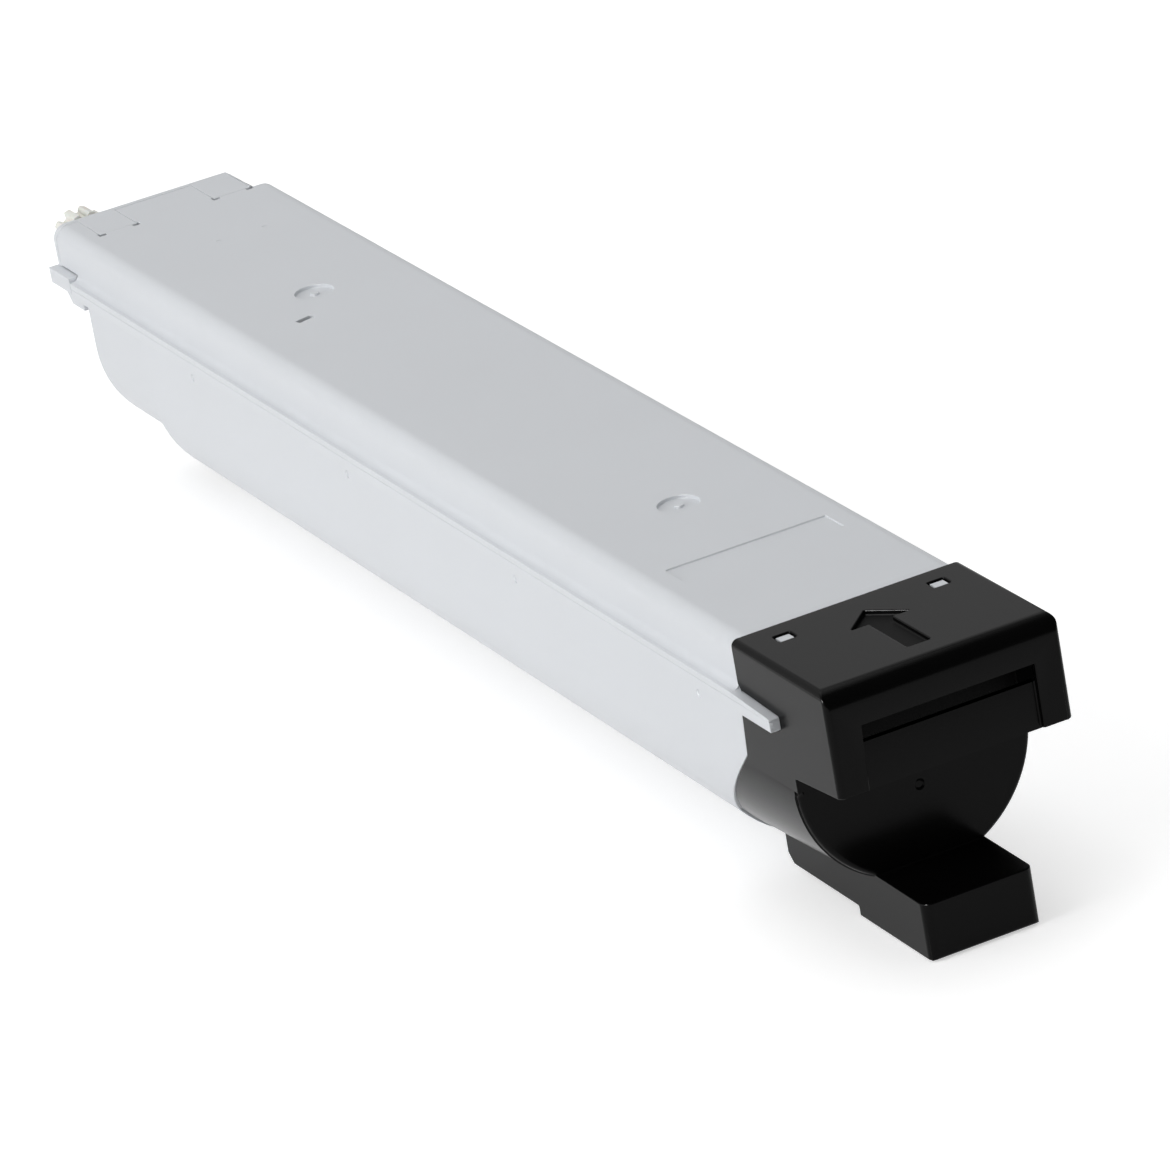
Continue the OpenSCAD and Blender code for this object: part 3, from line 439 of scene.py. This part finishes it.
def box_mesh(name, low, high, taper=0.0):
    """Mesh of a box between two corners, its top narrower along y by taper at each end."""
    mesh = bpy.data.meshes.new(name)
    form = bmesh.new()
    bmesh.ops.create_cube(form, size=1.0)
    for vert in form.verts:
        top = vert.co.z > 0
        vert.co = [low[i] + (vert.co[i] + 0.5) * (high[i] - low[i]) for i in range(3)]
        if top:
            vert.co.y += taper if vert.co.y < (low[1] + high[1]) / 2 else -taper
    form.to_mesh(mesh)
    form.free()
    return mesh


ROW = make_row_tree()


def make_auger():
    """Auger on the axis of its gear."""
    low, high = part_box("auger")
    gear_low, gear_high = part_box("auger_gear")
    axis_z = (gear_low[2] + gear_high[2]) / 2
    flight_start = low[1] + FLIGHT_FRONT_GAP
    bake("auger_screw", "auger", bpy.data.meshes.new("auger_screw"), make_auger_tree(), {
        "Lead": AUGER_LEAD,
        "Flight length": high[1] - FLIGHT_REAR_GAP - flight_start,
        "Flight radius": high[0] - FLIGHT_INSET,
        "Flight thickness": FLIGHT_THICKNESS,
        "Shaft radius": SHAFT_RADIUS,
        "Shaft length": high[1] - low[1],
        "Flight start": (0.0, flight_start, axis_z),
        "Shaft middle": (0.0, (low[1] + high[1]) / 2, axis_z),
        "Finish": WHITE,
    })


def bake_row(name, node, count, gap, taper=0.0):
    """Row of count like plates along y, gap apart, that fills a CAD node's box."""
    low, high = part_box(node)
    pitch = (high[1] - low[1] + gap) / count
    plate = box_mesh("plate", (low[0], 0, low[2]), (high[0], pitch - gap, high[2]), taper)
    bake(name, node, plate, ROW, {
        "Count": count, "Start": (0.0, low[1], 0.0), "Step": (0.0, pitch, 0.0), "Finish": MATERIALS[node]})


FLAP_COUNT = 16
FLAP_SLIT = 0.6 * MM
FLAP_TAPER = 0.8 * MM
PAD_COUNT = 4
PAD_GAP = 1.4 * MM

HEAD_RADIUS = 3 * MM
HEAD_HEIGHT = 1.8 * MM
SHANK_RADIUS = 1.48 * MM
CROSS_REACH = 1.6 * MM
CROSS_HALF_WIDTH = 0.3 * MM
CROSS_DEPTH = 0.9 * MM
SCREW_SIDES = 36


def screw_mesh(low, high):
    """Pan-head screw along +Y about x = z = 0: turned outline with a cross recess."""
    seat = high[1] - HEAD_HEIGHT
    outline = [(0, low[1]), (SHANK_RADIUS * 0.7, low[1]), (SHANK_RADIUS, low[1] + 0.8 * MM),
               (SHANK_RADIUS, seat), (HEAD_RADIUS, seat), (HEAD_RADIUS, seat + 0.9 * MM),
               (HEAD_RADIUS * 0.93, seat + 1.4 * MM), (HEAD_RADIUS * 0.7, seat + 1.7 * MM), (0, high[1])]
    form = bmesh.new()
    verts = [form.verts.new((r, y, 0)) for r, y in outline]
    edges = [form.edges.new(pair) for pair in zip(verts, verts[1:])]
    bmesh.ops.spin(form, geom=verts + edges, cent=(0, 0, 0), axis=(0, 1, 0), angle=math.tau,
                   steps=SCREW_SIDES)
    bmesh.ops.remove_doubles(form, verts=form.verts, dist=MERGE_GAP / 2)
    bmesh.ops.recalc_face_normals(form, faces=form.faces)
    mesh = bpy.data.meshes.new("screw")
    form.to_mesh(mesh)
    form.free()
    ob = bpy.data.objects.new("screw", mesh)
    scene.collection.objects.link(ob)
    cutters = []
    for wide, thin in ((CROSS_REACH, CROSS_HALF_WIDTH), (CROSS_HALF_WIDTH, CROSS_REACH)):
        blade = bpy.data.objects.new("blade", box_mesh(
            "blade", (-wide, high[1] - CROSS_DEPTH, -thin), (wide, high[1] + 1 * MM, thin)))
        scene.collection.objects.link(blade)
        cut = ob.modifiers.new("recess", "BOOLEAN")
        cut.object = blade
        cut.solver = "EXACT"
        cutters.append(blade)
    made = bpy.data.meshes.new_from_object(ob.evaluated_get(bpy.context.evaluated_depsgraph_get()))
    for helper in cutters + [ob]:
        bpy.data.objects.remove(helper)
    return made


def make_screws():
    """Two screws side by side in the rear cover."""
    low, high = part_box("cover_screws")
    half_pitch = high[0] - HEAD_RADIUS
    mid_z = (low[2] + high[2]) / 2
    bake("pan_head_screws", "cover_screws", screw_mesh(low, high), ROW, {
        "Count": 2, "Start": (-half_pitch, 0.0, mid_z), "Step": (2 * half_pitch, 0.0, 0.0),
        "Finish": MATERIALS["cover_screws"]})


make_auger()
bake_row("agitator_flaps", "agitator_film", FLAP_COUNT, FLAP_SLIT, FLAP_TAPER)
bake_row("contact_pads", "chip_contacts", PAD_COUNT, PAD_GAP)
make_screws()


# Floor, world, lamps and camera

FLOOR_HALF = 6.0
FLOOR_GAP = 0.5 * MM
PAPER = (0.8, 0.8, 0.8, 1)
FLOOR_LIFT = 0.5
WORLD_LIGHT = 0.45
DIM_ROOM = 0.08
BRIGHT_ROOM = 0.82
SWEEP_SIDE = (-0.35, 0.85, -0.4)
SWEEP_EDGE = (-0.15, 0.4)


def larger(tree, one, other):
    """The larger of two sockets' values."""
    most = add(tree, "ShaderNodeMath", operation="MAXIMUM")
    tree.links.new(one, most.inputs[0])
    tree.links.new(other, most.inputs[1])
    return most.outputs[0]


def seen_rays(tree, unseen, seen):
    """Strength that is seen for camera, mirror and glass rays, and unseen for the light on things."""
    path = add(tree, "ShaderNodeLightPath")
    most = larger(tree, path.outputs["Is Camera Ray"], path.outputs["Is Glossy Ray"])
    most = larger(tree, most, path.outputs["Is Transmission Ray"])
    strength = add(tree, "ShaderNodeMapRange")
    strength.inputs["To Min"].default_value = unseen
    strength.inputs["To Max"].default_value = seen
    tree.links.new(most, strength.inputs["Value"])
    return strength.outputs["Result"]


def make_floor():
    """White paper floor that keeps the shadow; a lift for seen rays takes it up to white."""
    mesh = bpy.data.meshes.new("floor")
    corners = [(x * FLOOR_HALF, y * FLOOR_HALF, 0) for x, y in ((-1, -1), (1, -1), (1, 1), (-1, 1))]
    mesh.from_pydata(corners, [], [(0, 1, 2, 3)])
    floor = bpy.data.objects.new("floor", mesh)
    scene.collection.objects.link(floor)
    floor.location.z = -FLOOR_GAP
    mat = bpy.data.materials.new("white paper")
    mat.use_nodes = True
    tree = mat.node_tree
    shader = tree.nodes["Principled BSDF"]
    shader.inputs["Base Color"].default_value = PAPER
    shader.inputs["Roughness"].default_value = 0.9
    shader.inputs["Specular IOR Level"].default_value = 0.0
    shader.inputs["Emission Color"].default_value = (1, 1, 1, 1)
    tree.links.new(seen_rays(tree, 0.0, FLOOR_LIFT), shader.inputs["Emission Strength"])
    mesh.materials.append(mat)


def make_world():
    """Even light on things, white for the camera, and in reflections a room that is bright on one side."""
    world = bpy.data.worlds.new("studio")
    scene.world = world
    world.use_nodes = True
    tree = world.node_tree
    place = add(tree, "ShaderNodeTexCoord")
    towards = add(tree, "ShaderNodeVectorMath", operation="DOT_PRODUCT")
    towards.inputs[1].default_value = Vector(SWEEP_SIDE).normalized()
    tree.links.new(place.outputs["Generated"], towards.inputs[0])
    sweep = add(tree, "ShaderNodeMapRange", interpolation_type="SMOOTHSTEP")
    sweep.inputs["From Min"].default_value, sweep.inputs["From Max"].default_value = SWEEP_EDGE
    sweep.inputs["To Min"].default_value = DIM_ROOM
    sweep.inputs["To Max"].default_value = BRIGHT_ROOM
    tree.links.new(towards.outputs["Value"], sweep.inputs["Value"])
    path = add(tree, "ShaderNodeLightPath")
    even = add(tree, "ShaderNodeMath", operation="SUBTRACT")
    even.inputs[0].default_value = 1.0
    tree.links.new(path.outputs["Is Glossy Ray"], even.inputs[1])
    shade = larger(tree, sweep.outputs["Result"], even.outputs[0])
    tree.links.new(shade, tree.nodes["Background"].inputs["Color"])
    tree.links.new(seen_rays(tree, WORLD_LIGHT, 1.0), tree.nodes["Background"].inputs["Strength"])


def lamp(name, place, aim, size, power):
    """Area lamp of the given size at place, facing aim, in metres; power in watts."""
    data = bpy.data.lights.new(name, "AREA")
    data.shape = "RECTANGLE"
    data.size, data.size_y = size
    data.energy = power
    ob = bpy.data.objects.new(name, data)
    scene.collection.objects.link(ob)
    ob.location = place
    ob.rotation_euler = (Vector(aim) - Vector(place)).to_track_quat("-Z", "Y").to_euler()
    return ob


CAMERA_PLACE = (-0.870615, -2.143609, 0.947432)
CAMERA_TURN = (67.891316, 9.527741, -26.349171)
PHOTO_SIDE = 1170
FOCAL_PIXELS = 8000


def make_camera():
    """Camera at the photograph's place, solved from its straight edges."""
    data = bpy.data.cameras.new("photo view")
    data.sensor_width = 36
    data.lens = FOCAL_PIXELS / PHOTO_SIDE * data.sensor_width
    data.clip_start, data.clip_end = 0.05, 50
    ob = bpy.data.objects.new("photo view", data)
    scene.collection.objects.link(ob)
    ob.location = CAMERA_PLACE
    ob.rotation_euler = [math.radians(v) for v in CAMERA_TURN]
    scene.camera = ob


make_floor()
make_world()
make_camera()
lamp("left softbox", (-1.8, 0.1, 0.5), (0, 0, 0.03), (1.6, 0.8), 15)
lamp("top softbox", (0.1, 0.5, 1.9), (0, 0, 0), (1.4, 1.4), 10)
lamp("key", (-1.4, -0.4, 1.37), (0, 0, 0.05), (0.7, 0.7), 5)
# This lamp shows in reflections alone.
glint = lamp("glint", (-1.3, -0.9, 1.5), (0, -0.25, 0.05), (0.6, 0.6), 170)
glint.visible_diffuse = False
scene.view_settings.view_transform = "Standard"
